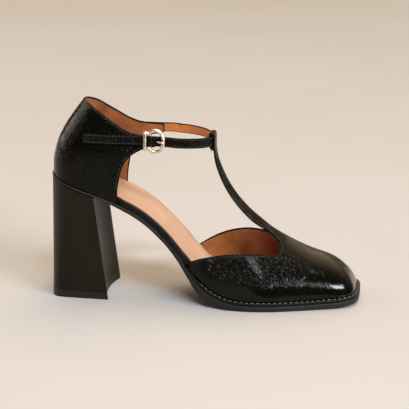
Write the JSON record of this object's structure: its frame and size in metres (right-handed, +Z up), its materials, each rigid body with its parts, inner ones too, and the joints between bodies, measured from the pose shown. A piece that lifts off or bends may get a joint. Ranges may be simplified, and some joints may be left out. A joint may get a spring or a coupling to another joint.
{
  "type": "t-strap shoe",
  "caption": "Square-toed T-strap shoe with an open waist, a buckled ankle strap and a tall flared block heel.",
  "frame": {"origin": "centre of the flat rubber face under the heel, on the floor", "axes": "+X towards the toe, +Y towards the inner side of the foot, +Z up"},
  "size_m": [0.2407, 0.0826, 0.1545],
  "materials": {
    "patent_upper": "black crinkled patent leather",
    "sock": "peach-tan smooth lining leather",
    "board_wrap": "black leather wrap, satin",
    "welt": "black, satin, stitched",
    "outsole": "near-black, matte",
    "heel_cover": "near-black leather cover over a moulded plastic core, soft sheen",
    "top_piece": "near-black, matte",
    "buckle": "pale gold, polished"
  },
  "bodies": {
    "root": {"outsole": "outsole", "welt": "welt", "insole_board": "board_wrap", "insole_sock": "sock", "vamp": "patent_upper", "quarter": "patent_upper", "ankle_strap": "patent_upper", "buckle_frame": "buckle", "buckle_prong": "buckle", "heel_block": "heel_cover", "heel_top_piece": "top_piece"}
  },
  "joints": []
}
